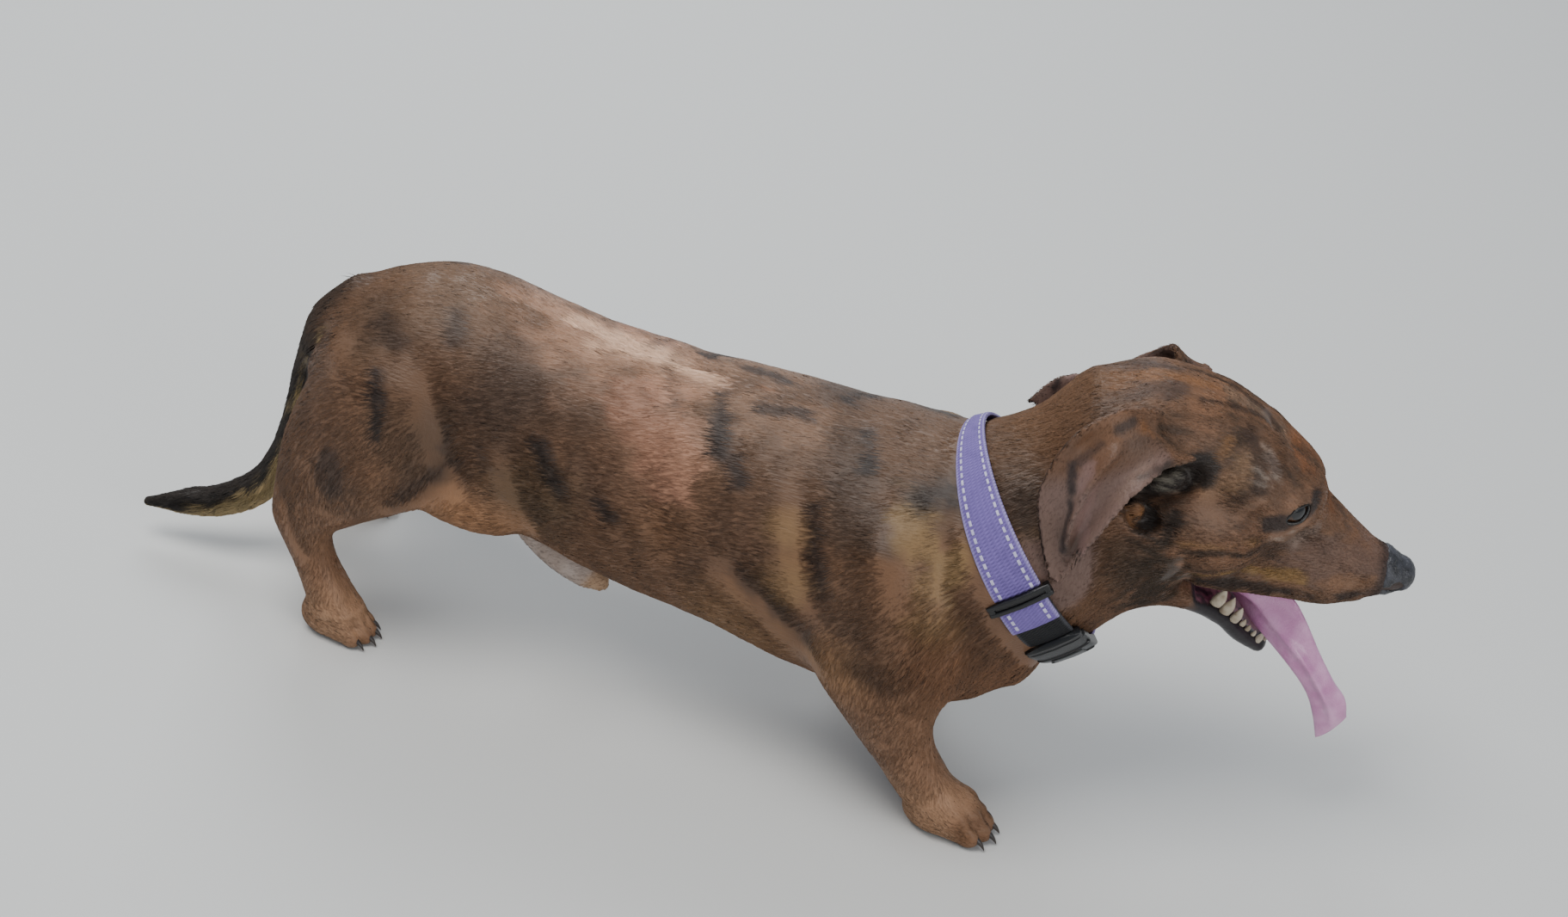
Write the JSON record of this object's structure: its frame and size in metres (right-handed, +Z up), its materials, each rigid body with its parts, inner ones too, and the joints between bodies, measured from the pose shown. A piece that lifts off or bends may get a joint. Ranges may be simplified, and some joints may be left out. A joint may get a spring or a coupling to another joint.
{
  "type": "dachshund",
  "caption": "Life-size smooth-haired brindle dachshund in mid-stride with open mouth, hanging tongue, lowered tail and a webbing collar with a side-release buckle.",
  "frame": {"origin": "on the floor under the middle of the whole figure", "axes": "+X towards the head, +Y to the left side of the dog, +Z up"},
  "size_m": [0.7094, 0.1644, 0.2752],
  "materials": {
    "coat": "short smooth hair lying flat, red brown with dark brindle streaks and a soft sheen",
    "coat_tan": "short smooth hair, orange tan on the lower legs and feet, black claws",
    "coat_dark": "short hair, dark brown with a tan underside on the tail and thinly haired inner ears",
    "lips": "dark hairless lips and mottled gums with cream teeth",
    "nose_leather": "dark grey, finely pebbled, slightly damp",
    "tongue": "wet mauve pink",
    "eye": "dark brown, wet",
    "webbing_violet": "violet woven webbing with fine cross ribs and two rows of pale reflective dashes",
    "webbing_black": "black woven webbing with a thin grey edge",
    "collar_plastic": "moulded black plastic"
  },
  "bodies": {
    "root": {"torso": "coat", "neck": "coat", "head": "coat", "lower_jaw": "lips", "nose": "nose_leather", "tongue": "tongue", "eye_right": "eye", "eye_left": "eye", "ear_right": "coat_dark", "ear_left": "coat_dark", "tail": "coat_dark", "foreleg_right": "coat_tan", "foreleg_left": "coat_tan", "hindleg_right": "coat_tan", "hindleg_left": "coat_tan", "collar_band": "webbing_violet", "collar_loop": "webbing_violet", "collar_webbing": "webbing_black", "collar_slider": "collar_plastic", "collar_buckle": "collar_plastic"}
  },
  "joints": []
}
